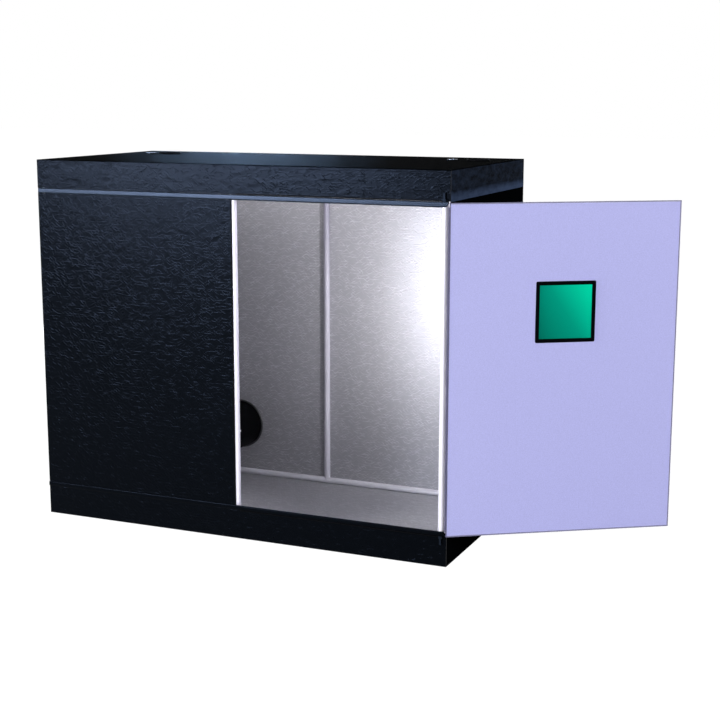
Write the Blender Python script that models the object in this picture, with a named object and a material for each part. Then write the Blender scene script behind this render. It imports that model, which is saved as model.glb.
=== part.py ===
"""Low indoor grow tent, 1200 x 600 x 1000 mm, in metres with +Z up.

A frame of steel tubes on push-in corner connectors stands inside a sewn fabric cover. The left half
of the front is closed, and the right half is a zipped door with a window, swung open round the
front right corner. One duct port is in the back wall and two are in the roof. The origin is the
middle of the footprint, on the floor.
"""
import math

import bmesh
import bpy
from mathutils import Matrix, Vector

# Overall size of the cover
TENT_WIDTH = 1.200
TENT_DEPTH = 0.600
TENT_HEIGHT = 1.000

# Cover fabric, and the bands that divide its front
FABRIC = 0.0015
HEADER_HEIGHT = 0.0765
SILL_HEIGHT = 0.080
TOP_STRIP_HEIGHT = 0.0142
SILL_BEAD_HEIGHT = 0.012
BAFFLE_PROUD = 0.0025
BAFFLE_CORNER_RADIUS = 0.012
BAFFLE_EDGE_ROUND = 0.0010
TOP_STRIP_LEFT_INSET = 0.002
TOP_STRIP_RIGHT_INSET = 0.006

# Frame tubes
TUBE_DIAMETER = 0.018
TUBE_WALL = 0.001
UPRIGHT_SIDE_INSET = 0.0175
ROOF_RAIL_DROP = 0.015

# Push-in corner connectors, and the necked or welded ends that join tube to tube
HUB_ARM = 0.014
SPIGOT_REACH = 0.028
SPIGOT_FIT = 0.0004
SPIGOT_WALL = 0.001
TEE_SPIGOT_REACH = 0.040

# Joint in each front upright, with its spring lock button
UPRIGHT_JOINT_HEIGHT = 0.270
NECK_LENGTH = 0.060
BUTTON_ABOVE_JOINT = 0.025
BUTTON_DIAMETER = 0.008
BUTTON_PROUD = 0.002
BUTTON_LENGTH = 0.008
BUTTON_DOME = 0.0012

# Hanging bars, which hook over the front and back roof rails
BAR_DIAMETER = 0.016
BAR_WALL = 0.001
BAR_DROP = 0.013
BAR_INSET = 0.300
HOOK_THICKNESS = 0.002
HOOK_WIDTH = 0.014
HOOK_TAIL = 0.016
HOOK_BITE = 0.0005
HOOK_LOW_ANGLE = math.radians(-20)
HOOK_HIGH_ANGLE = math.radians(100)

# Door, its hinge piping, and the angle at which it stands open
DOOR_THICKNESS = 0.0016
DOOR_EDGE_FROM_MIDDLE = 0.013
DOOR_FOOT_CLEARANCE = 0.001
DOOR_HEAD_CLEARANCE = 0.002
DOOR_OPEN_ANGLE = math.radians(212.9)
PIPING_DIAMETER = 0.0024
PIPING_HEAD = 0.0015
HINGE_FLANGE = 0.0045
HINGE_SIDE_STANDOFF = 0.001

# Window in the door
WINDOW_FRAME_SIZE = 0.154
WINDOW_FRAME_WIDTH = 0.0082
WINDOW_LIP_THICKNESS = 0.0018
WINDOW_FRAME_CORNER = 0.004
WINDOW_WEB = 0.0012
WINDOW_PANE_THICKNESS = 0.0008
WINDOW_PANE_CORNER = 0.001
WINDOW_PANE_LAP = 0.0035
WINDOW_FROM_HINGE = 0.2965
WINDOW_CENTRE_HEIGHT = 0.649

# Zip: a chain on the door and one round the opening, and a slider parked at each end
DOOR_CHAIN_WIDTH = 0.0029
DOOR_CHAIN_THICKNESS = 0.0024
CHAIN_WIDTH = 0.0024
CHAIN_THICKNESS = 0.0018
CHAIN_END_INSET = 0.0065
SLIDER_LENGTH = 0.009
SLIDER_THICKNESS = 0.0026
SLIDER_OVERLAP = 0.0012
SLIDER_FLANGE = 0.0023
SLIDER_PARK_INSET = 0.015
TAB_LENGTH = 0.020
TAB_WIDTH = 0.005
TAB_THICKNESS = 0.0012
TAB_BITE = 0.0004

# Duct ports
BACK_PORT_RADIUS = 0.070
BACK_PORT_INSET = 0.300
BACK_PORT_HEIGHT = 0.160
BACK_SLEEVE_INWARD = 0.160
ROOF_PORT_RADIUS = 0.032
ROOF_SLEEVE_DOWN = 0.075
ROOF_PORT_FROM_BACK = 0.130
LEFT_ROOF_PORT_INSET = 0.140
RIGHT_ROOF_PORT_INSET = 0.090
PORT_RING_WIDTH = 0.006
PORT_RING_THICKNESS = 0.005
SLEEVE_WALL = 0.0012
SLEEVE_OUTWARD = 0.002

# Eyelets for cables, beside the roof ports
EYELET_RADIUS = 0.011
EYELET_BORE = 0.009
EYELET_FLANGE_RADIUS = 0.0145
EYELET_FLANGE_THICKNESS = 0.0012
LEFT_EYELET_INSET = 0.076
RIGHT_EYELET_INSET = 0.165

# What two pieces that touch keep between them, and how far a cutter runs past what it cuts
SEAM_GAP = 0.0003
OVERRUN = 0.004

# Facets on round pieces
TUBE_SIDES = 16
PORT_SIDES = 40
CORNER_STEPS = 5
SMALL_SIDES = 12
MERGE_DISTANCE = 0.00002

# Places that follow from the sizes above
HALF_WIDTH = TENT_WIDTH / 2
HALF_DEPTH = TENT_DEPTH / 2
HEADER_LOW = TENT_HEIGHT - HEADER_HEIGHT
TUBE_RADIUS = TUBE_DIAMETER / 2
TUBE_BORE = TUBE_RADIUS - TUBE_WALL
SPIGOT_RADIUS = TUBE_BORE - SPIGOT_FIT
SPIGOT_BORE = SPIGOT_RADIUS - SPIGOT_WALL
UPRIGHT_X = HALF_WIDTH - UPRIGHT_SIDE_INSET
UPRIGHT_Y = HALF_DEPTH - FABRIC - SEAM_GAP - TUBE_RADIUS
FLOOR_RAIL_Z = FABRIC + SEAM_GAP + TUBE_RADIUS
ROOF_RAIL_Z = TENT_HEIGHT - ROOF_RAIL_DROP
TUBE_START = HUB_ARM + SEAM_GAP
SILL_BEAD_TOP = SILL_HEIGHT + SILL_BEAD_HEIGHT
TOP_STRIP_LOW = HEADER_LOW - TOP_STRIP_HEIGHT
FRONT_FACE = -HALF_DEPTH
FRONT_INNER = FRONT_FACE + FABRIC
SIDE_INNER = HALF_WIDTH - FABRIC
WALL_END_Y = HALF_DEPTH - FABRIC - SEAM_GAP
DOOR_FOOT = SILL_HEIGHT + DOOR_FOOT_CLEARANCE
DOOR_HEAD = HEADER_LOW - DOOR_HEAD_CLEARANCE
PIPING_RADIUS = PIPING_DIAMETER / 2
FLANGE_Y = FRONT_FACE - HINGE_FLANGE
HINGE_X = HALF_WIDTH + HINGE_SIDE_STANDOFF
HINGE_Y = FLANGE_Y - SEAM_GAP - PIPING_RADIUS
DOOR_REACH = HINGE_X - DOOR_EDGE_FROM_MIDDLE
PANE_HALF = WINDOW_FRAME_SIZE / 2 - WINDOW_FRAME_WIDTH + WINDOW_PANE_LAP
WINDOW_HOLE_HALF = PANE_HALF + WINDOW_WEB + 2 * SEAM_GAP
BAR_X = HALF_WIDTH - BAR_INSET
BACK_PORT_X = -HALF_WIDTH + BACK_PORT_INSET
ROOF_PORT_Y = HALF_DEPTH - ROOF_PORT_FROM_BACK
LEFT_ROOF_PORT_X = -HALF_WIDTH + LEFT_ROOF_PORT_INSET
RIGHT_ROOF_PORT_X = HALF_WIDTH - RIGHT_ROOF_PORT_INSET
LEFT_EYELET_X = -HALF_WIDTH + LEFT_EYELET_INSET
RIGHT_EYELET_X = HALF_WIDTH - RIGHT_EYELET_INSET
DOOR_REST_HEADING = DOOR_OPEN_ANGLE - math.pi
BUTTON_HEIGHT = UPRIGHT_JOINT_HEIGHT + BUTTON_ABOVE_JOINT
FACET_TWIST = 2 * math.pi / TUBE_SIDES / 3

ALONG_X = Matrix.Rotation(math.pi / 2, 4, "Y")
ALONG_Y = Matrix.Rotation(-math.pi / 2, 4, "X")
ALONG_Z = Matrix.Identity(4)


def srgb(code):
    """Linear colour for a hex code."""
    parts = [int(code[i:i + 2], 16) / 255 for i in (0, 2, 4)]
    return [p / 12.92 if p <= 0.04045 else ((p + 0.055) / 1.055) ** 2.4 for p in parts] + [1.0]


def make_look(name, code, roughness, metallic=0.0):
    """One Principled material."""
    look = bpy.data.materials.new(name)
    look.use_nodes = True
    shader = look.node_tree.nodes["Principled BSDF"]
    shader.inputs["Base Color"].default_value = srgb(code)
    shader.inputs["Roughness"].default_value = roughness
    shader.inputs["Metallic"].default_value = metallic
    return look


def put_part(name, bm, look, at=(0, 0, 0), parent=None, smooth=False):
    """Turn a bmesh into the named object, with its origin at the given place."""
    bmesh.ops.recalc_face_normals(bm, faces=bm.faces)
    mesh = bpy.data.meshes.new(name)
    bm.to_mesh(mesh)
    bm.free()
    mesh.materials.append(look)
    if smooth:
        mesh.shade_smooth()
        mesh.set_sharp_from_angle(angle=math.radians(40))
    part = bpy.data.objects.new(name, mesh)
    bpy.context.scene.collection.objects.link(part)
    part.location = at
    part.parent = parent
    return part


def block(low, high):
    """Solid box between two corners."""
    bm = bmesh.new()
    bmesh.ops.create_cube(bm, size=1.0)
    for vert in bm.verts:
        vert.co = Vector([high[i] if vert.co[i] > 0 else low[i] for i in range(3)])
    return bm


def turned(profile, sides, turn=ALONG_Z, closed=True):
    """Solid of revolution about the local axis, from (radius, height) points.

    The profile is a closed loop, or an open line whose two ends lie on the axis.
    """
    bm = bmesh.new()
    verts = [bm.verts.new((radius, 0, height)) for radius, height in profile]
    edges = [bm.edges.new(pair) for pair in zip(verts, verts[1:])]
    if closed:
        edges.append(bm.edges.new((verts[-1], verts[0])))
    bmesh.ops.spin(bm, geom=verts + edges, cent=(0, 0, 0), axis=(0, 0, 1),
                   angle=2 * math.pi, steps=sides, use_merge=True)
    bmesh.ops.remove_doubles(bm, verts=bm.verts, dist=MERGE_DISTANCE)
    bmesh.ops.transform(bm, matrix=turn, verts=bm.verts)
    return bm


def pipe(outer, inner, start, end, sides, turn=ALONG_Z):
    """Straight open-ended tube."""
    return turned([(inner, start), (outer, start), (outer, end), (inner, end)], sides, turn)


def rod(radius, start, end, sides, turn=ALONG_Z, at=(0, 0, 0)):
    """Solid cylinder along one axis."""
    bm = bmesh.new()
    middle = Matrix.Translation((0, 0, (start + end) / 2))
    bmesh.ops.create_cone(bm, cap_ends=True, segments=sides, radius1=radius, radius2=radius,
                          depth=end - start, matrix=Matrix.Translation(at) @ turn @ middle)
    return bm


def arc(centre, radius, start, end, steps):
    """Points along an arc in a plane, from one angle to another."""
    angles = [start + (end - start) * i / steps for i in range(steps + 1)]
    return [(centre[0] + radius * math.cos(a), centre[1] + radius * math.sin(a)) for a in angles]


def slab(outline, plane, low, high):
    """Closed outline in the YZ or XZ plane, extruded along the third axis."""
    bm = bmesh.new()
    if plane == "XZ":
        verts = [bm.verts.new((u, low, v)) for u, v in outline]
        push = Vector((0, high - low, 0))
    else:
        verts = [bm.verts.new((low, u, v)) for u, v in outline]
        push = Vector((high - low, 0, 0))
    face = bm.faces.new(verts)
    grown = bmesh.ops.extrude_face_region(bm, geom=[face])
    moved = [item for item in grown["geom"] if isinstance(item, bmesh.types.BMVert)]
    bmesh.ops.translate(bm, vec=push, verts=moved)
    return bm


def rounded_square(half, corner, steps):
    """Outline of a square with round corners, about the origin."""
    inner = half - corner
    places = ((inner, inner), (-inner, inner), (-inner, -inner), (inner, -inner))
    points = []
    for quarter, place in enumerate(places):
        start = quarter * math.pi / 2
        points += arc(place, corner, start, start + math.pi / 2, steps)
    return points


def as_temporary(bm):
    """Object that carries a solid through a Boolean."""
    bmesh.ops.recalc_face_normals(bm, faces=bm.faces)
    mesh = bpy.data.meshes.new("working_solid")
    bm.to_mesh(mesh)
    bm.free()
    holder = bpy.data.objects.new("working_solid", mesh)
    bpy.context.scene.collection.objects.link(holder)
    return holder


def combine(base, added=(), cut=()):
    """Union a solid with others, then cut others away, with the exact solver."""
    body = as_temporary(base)
    helpers = []
    for operation, solids in (("UNION", added), ("DIFFERENCE", cut)):
        for solid in solids:
            helper = as_temporary(solid)
            step = body.modifiers.new(operation, "BOOLEAN")
            step.operation = operation
            step.solver = "EXACT"
            step.object = helper
            helpers.append(helper)
    result = bmesh.new()
    result.from_object(body, bpy.context.evaluated_depsgraph_get())
    for holder in [body] + helpers:
        bpy.data.objects.remove(holder)
    return result


def make_corner_connectors(look):
    """Eight moulded three-way connectors: a hub as thick as the tubes and three spigots."""
    spigot_end = HUB_ARM + SPIGOT_REACH
    for level, height, up in (("floor", FLOOR_RAIL_Z, 1), ("roof", ROOF_RAIL_Z, -1)):
        for face, y, inward in (("front", -UPRIGHT_Y, 1), ("back", UPRIGHT_Y, -1)):
            for side, x, across in (("left", -UPRIGHT_X, 1), ("right", UPRIGHT_X, -1)):
                ball = bmesh.new()
                bmesh.ops.create_uvsphere(ball, u_segments=TUBE_SIDES, v_segments=TUBE_SIDES // 2,
                                          radius=TUBE_RADIUS - SEAM_GAP,
                                          matrix=Matrix.Rotation(FACET_TWIST, 4, (1, 2, 3)))
                arms = []
                for count, (axis, way) in enumerate(((ALONG_X, across), (ALONG_Y, inward), (ALONG_Z, up))):
                    shape = [(0, -way * SEAM_GAP), (TUBE_RADIUS, -way * SEAM_GAP), (TUBE_RADIUS, way * HUB_ARM),
                             (SPIGOT_RADIUS, way * HUB_ARM), (SPIGOT_RADIUS, way * spigot_end),
                             (0, way * spigot_end)]
                    twisted = axis @ Matrix.Rotation(count * FACET_TWIST, 4, "Z")
                    arms.append(turned(shape, TUBE_SIDES, twisted, closed=False))
                solid = combine(ball, added=arms)
                put_part(f"{level}_{face}_{side}_connector", solid, look, (x, y, height), smooth=True)


def button_hole():
    """Cutter for a lock button's hole, through the +X wall of an upright at the joint's height."""
    return rod(BUTTON_DIAMETER / 2 + SEAM_GAP, 0, TUBE_RADIUS + OVERRUN, SMALL_SIDES, ALONG_X,
               (0, 0, BUTTON_HEIGHT))


def rail_seat(height):
    """Cutter that shapes an upright's end to sit round a rail."""
    return rod(TUBE_RADIUS + SEAM_GAP, -TUBE_RADIUS - OVERRUN, TUBE_RADIUS + OVERRUN,
               2 * TUBE_SIDES, ALONG_X, (0, 0, height))


def make_front_uprights(steel):
    """Three front uprights, each a lower tube with a necked end and an upper tube pushed over it."""
    for side, x in (("left", -UPRIGHT_X), ("mid", 0), ("right", UPRIGHT_X)):
        middle = side == "mid"
        foot = FLOOR_RAIL_Z if middle else FLOOR_RAIL_Z + TUBE_START
        head = ROOF_RAIL_Z if middle else ROOF_RAIL_Z - TUBE_START
        neck_low = UPRIGHT_JOINT_HEIGHT - SEAM_GAP
        neck_high = UPRIGHT_JOINT_HEIGHT + NECK_LENGTH
        lower = turned([(TUBE_BORE, foot), (TUBE_RADIUS, foot), (TUBE_RADIUS, neck_low),
                        (SPIGOT_RADIUS, neck_low), (SPIGOT_RADIUS, neck_high),
                        (SPIGOT_BORE, neck_high), (SPIGOT_BORE, neck_low), (TUBE_BORE, neck_low - TUBE_WALL)],
                       TUBE_SIDES)
        lower = combine(lower, cut=[button_hole()] + ([rail_seat(FLOOR_RAIL_Z)] if middle else []))
        put_part(f"front_{side}_lower_upright", lower, steel, (x, -UPRIGHT_Y, 0), smooth=True)
        upper = pipe(TUBE_RADIUS, TUBE_BORE, UPRIGHT_JOINT_HEIGHT, head, TUBE_SIDES)
        upper = combine(upper, cut=[button_hole()] + ([rail_seat(ROOF_RAIL_Z)] if middle else []))
        put_part(f"front_{side}_upper_upright", upper, steel, (x, -UPRIGHT_Y, 0), smooth=True)


def make_back_uprights(steel):
    """Three back uprights, each one tube. The middle one is shaped to sit between the rails."""
    for side, x in (("left", -UPRIGHT_X), ("mid", 0), ("right", UPRIGHT_X)):
        if side == "mid":
            post = pipe(TUBE_RADIUS, TUBE_BORE, FLOOR_RAIL_Z, ROOF_RAIL_Z, TUBE_SIDES)
            post = combine(post, cut=[rail_seat(FLOOR_RAIL_Z), rail_seat(ROOF_RAIL_Z)])
        else:
            post = pipe(TUBE_RADIUS, TUBE_BORE, FLOOR_RAIL_Z + TUBE_START, ROOF_RAIL_Z - TUBE_START,
                        TUBE_SIDES)
        put_part(f"back_{side}_upright", post, steel, (x, UPRIGHT_Y, 0), smooth=True)


def make_lock_buttons(look):
    """Round-headed spring buttons that lock each front upright's two tubes."""
    radius = BUTTON_DIAMETER / 2
    tip = TUBE_RADIUS + BUTTON_PROUD
    shoulder = tip - BUTTON_DOME
    shape = [(0, tip - BUTTON_LENGTH), (radius, tip - BUTTON_LENGTH), (radius, shoulder),
             (radius / 2, tip), (0, tip)]
    for side, x in (("left", -UPRIGHT_X), ("mid", 0), ("right", UPRIGHT_X)):
        button = turned(shape, SMALL_SIDES, ALONG_X, closed=False)
        put_part(f"front_{side}_lock_button", button, look, (x, -UPRIGHT_Y, BUTTON_HEIGHT), smooth=True)


def make_long_rails(steel):
    """Front and back rails, with a short spigot welded on at the middle for the middle uprights."""
    reach = UPRIGHT_X - TUBE_START
    for level, height, up in (("floor", FLOOR_RAIL_Z, 1), ("roof", ROOF_RAIL_Z, -1)):
        for face, y in (("front", -UPRIGHT_Y), ("back", UPRIGHT_Y)):
            outside = rod(TUBE_RADIUS, -reach, reach, TUBE_SIDES, ALONG_X)
            low, high = sorted((0, up * TEE_SPIGOT_REACH))
            stub = rod(SPIGOT_RADIUS, low, high, TUBE_SIDES)
            bore = rod(TUBE_BORE, -reach - OVERRUN, reach + OVERRUN, TUBE_SIDES, ALONG_X)
            low, high = sorted((0, up * (TEE_SPIGOT_REACH + OVERRUN)))
            stub_bore = rod(SPIGOT_BORE, low, high, TUBE_SIDES)
            rail = combine(outside, added=[stub], cut=[bore, stub_bore])
            put_part(f"{face}_{level}_rail", rail, steel, (0, y, height), smooth=True)


def make_side_rails(steel):
    """Side rails, from corner to corner."""
    reach = UPRIGHT_Y - TUBE_START
    for level, height in (("floor", FLOOR_RAIL_Z), ("roof", ROOF_RAIL_Z)):
        for side, x in (("left", -UPRIGHT_X), ("right", UPRIGHT_X)):
            rail = pipe(TUBE_RADIUS, TUBE_BORE, -reach, reach, TUBE_SIDES, ALONG_Y)
            put_part(f"{side}_{level}_rail", rail, steel, (x, 0, height), smooth=True)


def hook_outline():
    """Side view of one hook, about the rail's centre, with the bar towards +Y."""
    inner = TUBE_RADIUS + SEAM_GAP
    outer = inner + HOOK_THICKNESS
    bar_top = BAR_DIAMETER / 2 - BAR_DROP
    over = arc((0, 0), inner, HOOK_HIGH_ANGLE, HOOK_LOW_ANGLE, 2 * CORNER_STEPS)
    foot = bar_top - HOOK_BITE
    lip = foot + HOOK_THICKNESS
    back = arc((0, 0), outer, math.asin(lip / outer), HOOK_HIGH_ANGLE, 2 * CORNER_STEPS)
    return over + [(inner, foot), (outer + HOOK_TAIL, foot), (outer + HOOK_TAIL, lip)] + back


def make_hanging_bars(steel):
    """Two bars for lamps, each a tube with a bent hook welded on top of either end."""
    bar_end = UPRIGHT_Y - TUBE_RADIUS - SEAM_GAP - HOOK_THICKNESS
    for side, x in (("left", -BAR_X), ("right", BAR_X)):
        tube = pipe(BAR_DIAMETER / 2, BAR_DIAMETER / 2 - BAR_WALL, -bar_end, bar_end, TUBE_SIDES, ALONG_Y)
        hooks = []
        for way in (1, -1):
            outline = [(way * (u - UPRIGHT_Y), v + BAR_DROP) for u, v in hook_outline()]
            hooks.append(slab(outline, "YZ", -HOOK_WIDTH / 2, HOOK_WIDTH / 2))
        bar = combine(tube, added=hooks)
        put_part(f"{side}_hanging_bar", bar, steel, (x, 0, ROOF_RAIL_Z - BAR_DROP), smooth=True)


def make_walls(fabric):
    """Back, left and right walls, and the closed half of the front."""
    hole = rod(BACK_PORT_RADIUS + SEAM_GAP, -FABRIC - OVERRUN, OVERRUN, PORT_SIDES, ALONG_Y,
               (BACK_PORT_X, 0, BACK_PORT_HEIGHT))
    back = combine(block((-HALF_WIDTH, -FABRIC, 0), (HALF_WIDTH, 0, HEADER_LOW)), cut=[hole])
    put_part("back_wall", back, fabric, (0, HALF_DEPTH, 0))
    left = block((0, -WALL_END_Y, 0), (FABRIC, WALL_END_Y, HEADER_LOW))
    put_part("left_wall", left, fabric, (-HALF_WIDTH, 0, 0))
    # The right wall's front edge runs forward beside the door, as the flange that its hinge piping is sewn to
    edge = [(-WALL_END_Y, 0), (WALL_END_Y, 0), (WALL_END_Y, HEADER_LOW), (-WALL_END_Y, HEADER_LOW),
            (-WALL_END_Y, DOOR_HEAD), (FLANGE_Y, DOOR_HEAD), (FLANGE_Y, DOOR_FOOT), (-WALL_END_Y, DOOR_FOOT)]
    put_part("right_wall", slab(edge, "YZ", -FABRIC, 0), fabric, (HALF_WIDTH, 0, 0))
    panel = block((-HALF_WIDTH, 0, SILL_BEAD_TOP + SEAM_GAP), (0, FABRIC, TOP_STRIP_LOW - SEAM_GAP))
    put_part("front_panel", panel, fabric, (0, FRONT_FACE, 0))


def make_floor(lining):
    """Floor sheet inside the walls, under the frame."""
    low = (-SIDE_INNER + SEAM_GAP, -WALL_END_Y, 0)
    high = (SIDE_INNER - SEAM_GAP, WALL_END_Y, FABRIC)
    put_part("floor_sheet", block(low, high), lining)


def make_header(fabric):
    """Band round the top of the walls, in four sewn lengths."""
    low = HEADER_LOW + SEAM_GAP
    high = TENT_HEIGHT - FABRIC - SEAM_GAP
    put_part("header_front", block((-HALF_WIDTH, 0, low), (HALF_WIDTH, FABRIC, high)), fabric,
             (0, FRONT_FACE, 0))
    put_part("header_back", block((-HALF_WIDTH, -FABRIC, low), (HALF_WIDTH, 0, high)), fabric,
             (0, HALF_DEPTH, 0))
    put_part("header_left", block((0, -WALL_END_Y, low), (FABRIC, WALL_END_Y, high)), fabric,
             (-HALF_WIDTH, 0, 0))
    put_part("header_right", block((-FABRIC, -WALL_END_Y, low), (0, WALL_END_Y, high)), fabric,
             (HALF_WIDTH, 0, 0))


def make_roof(fabric):
    """Roof panel, with the holes of its ports and eyelets."""
    holes = [rod(radius + SEAM_GAP, -FABRIC - OVERRUN, OVERRUN, PORT_SIDES, ALONG_Z, (x, ROOF_PORT_Y, 0))
             for x, radius in ((LEFT_ROOF_PORT_X, ROOF_PORT_RADIUS), (RIGHT_ROOF_PORT_X, ROOF_PORT_RADIUS),
                               (LEFT_EYELET_X, EYELET_RADIUS), (RIGHT_EYELET_X, EYELET_RADIUS))]
    roof = combine(block((-HALF_WIDTH, -HALF_DEPTH, -FABRIC), (HALF_WIDTH, HALF_DEPTH, 0)), cut=holes)
    put_part("roof_panel", roof, fabric, (0, 0, TENT_HEIGHT))


def baffle(outline):
    """Padded strip, extruded from the back of the cover to its proud face, with soft front edges."""
    bm = slab(outline, "XZ", -BAFFLE_PROUD, FABRIC)
    front = [e for e in bm.edges if all(v.co.y < -BAFFLE_PROUD / 2 for v in e.verts)]
    bmesh.ops.bevel(bm, geom=front, offset=BAFFLE_EDGE_ROUND, segments=2, profile=0.5,
                    affect="EDGES", clamp_overlap=True)
    return bm


def make_top_strip(trim):
    """Padded strip that keeps light in behind the zip, under the front of the header."""
    radius = BAFFLE_CORNER_RADIUS
    left = -HALF_WIDTH + TOP_STRIP_LEFT_INSET
    right = HALF_WIDTH - TOP_STRIP_RIGHT_INSET
    corner = arc((right - radius, TOP_STRIP_LOW + radius), radius, -math.pi / 2, 0, CORNER_STEPS)
    outline = [(left, HEADER_LOW), (left, TOP_STRIP_LOW)] + corner + [(right, HEADER_LOW)]
    put_part("top_baffle_strip", baffle(outline), trim, (0, FRONT_FACE, 0))


def make_sill(fabric):
    """Low band across the foot of the front, with its padded bead along the top."""
    right = SIDE_INNER - SEAM_GAP
    radius = min(BAFFLE_CORNER_RADIUS, SILL_BEAD_HEIGHT - BAFFLE_EDGE_ROUND)
    corner = arc((right - radius, SILL_BEAD_TOP - radius), radius, 0, math.pi / 2, CORNER_STEPS)
    outline = [(-HALF_WIDTH, SILL_HEIGHT), (right, SILL_HEIGHT)] + corner + [(-HALF_WIDTH, SILL_BEAD_TOP)]
    band = block((-HALF_WIDTH, 0, 0), (HALF_WIDTH, FABRIC, SILL_HEIGHT + BAFFLE_EDGE_ROUND))
    put_part("front_sill", combine(band, added=[baffle(outline)]), fabric, (0, FRONT_FACE, 0))


def make_door_hinge(trim):
    """Piping that the door turns on, sewn to the right wall's front edge, and the door's own frame."""
    piping = rod(PIPING_RADIUS, DOOR_FOOT, DOOR_HEAD + PIPING_HEAD, SMALL_SIDES)
    put_part("door_hinge_piping", piping, trim, (HINGE_X, HINGE_Y, 0), smooth=True)
    hinge = bpy.data.objects.new("door_hinge_axis", None)
    bpy.context.scene.collection.objects.link(hinge)
    hinge.location = (HINGE_X, HINGE_Y, 0)
    hinge.rotation_euler = (0, 0, DOOR_REST_HEADING)
    return hinge


def make_door(hinge, fabric, chain_look):
    """Door panel with its window hole, and the zip chain round its three free edges."""
    near = PIPING_RADIUS + SEAM_GAP
    far = DOOR_REACH - DOOR_CHAIN_WIDTH - SEAM_GAP
    foot = DOOR_FOOT + DOOR_CHAIN_WIDTH + SEAM_GAP
    head = DOOR_HEAD - DOOR_CHAIN_WIDTH - SEAM_GAP
    half = DOOR_THICKNESS / 2
    window = block((WINDOW_FROM_HINGE - WINDOW_HOLE_HALF, -half - OVERRUN, WINDOW_CENTRE_HEIGHT - WINDOW_HOLE_HALF),
                   (WINDOW_FROM_HINGE + WINDOW_HOLE_HALF, half + OVERRUN, WINDOW_CENTRE_HEIGHT + WINDOW_HOLE_HALF))
    panel = combine(block((near, -half, foot), (far, half, head)), cut=[window])
    put_part("door_panel", panel, fabric, parent=hinge)
    half = DOOR_CHAIN_THICKNESS / 2
    edge = [(near, DOOR_FOOT), (DOOR_REACH, DOOR_FOOT), (DOOR_REACH, DOOR_HEAD), (near, DOOR_HEAD),
            (near, head + SEAM_GAP), (far + SEAM_GAP, head + SEAM_GAP), (far + SEAM_GAP, foot - SEAM_GAP),
            (near, foot - SEAM_GAP)]
    put_part("door_zip_chain", slab(edge, "XZ", -half, half), chain_look, parent=hinge)


def square_ring(outer, corner, inner, low, high):
    """Flat square ring between two distances from its middle plane."""
    hole = slab(rounded_square(inner, WINDOW_PANE_CORNER, 1), "XZ", low - OVERRUN, high + OVERRUN)
    return combine(slab(rounded_square(outer, corner, CORNER_STEPS), "XZ", low, high), cut=[hole])


def make_window(hinge, frame_look, film):
    """Window film, held in the groove of a frame whose two lips grip the door's edge."""
    half = WINDOW_FRAME_SIZE / 2
    at = (WINDOW_FROM_HINGE, 0, WINDOW_CENTRE_HEIGHT)
    pane = slab(rounded_square(PANE_HALF, WINDOW_PANE_CORNER, 1), "XZ", -WINDOW_PANE_THICKNESS / 2,
                WINDOW_PANE_THICKNESS / 2)
    put_part("window_pane", pane, film, at, hinge)
    near = DOOR_THICKNESS / 2 + SEAM_GAP
    far = near + WINDOW_LIP_THICKNESS
    sight = half - WINDOW_FRAME_WIDTH
    lips = [square_ring(half, WINDOW_FRAME_CORNER, sight, low, high) for low, high in ((near, far), (-far, -near))]
    web_inner = PANE_HALF + SEAM_GAP
    middle = near + WINDOW_LIP_THICKNESS / 2
    web = square_ring(web_inner + WINDOW_WEB, WINDOW_PANE_CORNER, web_inner, -middle, middle)
    put_part("window_frame", combine(web, added=lips), frame_look, at, hinge)


def make_zip_chains(look):
    """Zip chain on the cover: along the header, down the front panel's edge and along the sill."""
    start = DOOR_EDGE_FROM_MIDDLE
    end = HALF_WIDTH - CHAIN_END_INSET
    front = -SEAM_GAP - CHAIN_THICKNESS
    low = HEADER_LOW + 2 * SEAM_GAP
    put_part("top_zip_chain", block((start, front, low), (end, -SEAM_GAP, low + CHAIN_WIDTH)), look,
             (0, FRONT_FACE, 0))
    high = SILL_HEIGHT - 2 * SEAM_GAP
    put_part("bottom_zip_chain", block((start, front, high - CHAIN_WIDTH), (end, -SEAM_GAP, high)), look,
             (0, FRONT_FACE, 0))
    side = block((-SEAM_GAP - CHAIN_WIDTH, front, SILL_BEAD_TOP + SEAM_GAP),
                 (-SEAM_GAP, -SEAM_GAP, TOP_STRIP_LOW - SEAM_GAP))
    put_part("side_zip_chain", side, look, (0, FRONT_FACE, 0))


def make_zip_sliders(look):
    """Zip sliders parked at the hinge end, each hooked round its chain, with a pull tab."""
    back = -SEAM_GAP
    behind = back - CHAIN_THICKNESS - SEAM_GAP
    front = behind - SLIDER_THICKNESS
    inside = CHAIN_WIDTH / 2 + SEAM_GAP
    shape = [(front, -CHAIN_WIDTH / 2 - SLIDER_OVERLAP), (front, inside + SLIDER_FLANGE),
             (back, inside + SLIDER_FLANGE), (back, inside), (behind, inside),
             (behind, -CHAIN_WIDTH / 2 - SLIDER_OVERLAP)]
    place = HALF_WIDTH - SLIDER_PARK_INSET
    chains = (("upper_zip_slider", HEADER_LOW + 2 * SEAM_GAP + CHAIN_WIDTH / 2, 1),
              ("lower_zip_slider", SILL_HEIGHT - 2 * SEAM_GAP - CHAIN_WIDTH / 2, -1))
    for name, height, way in chains:
        body = slab([(u, way * v) for u, v in shape], "YZ", -SLIDER_LENGTH / 2, SLIDER_LENGTH / 2)
        low, high = sorted((0, way * TAB_LENGTH))
        tab = block((-TAB_WIDTH / 2, front + TAB_BITE - TAB_THICKNESS, low),
                    (TAB_WIDTH / 2, front + TAB_BITE, high))
        put_part(name, combine(body, added=[tab]), look, (place, FRONT_FACE, height))


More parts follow.
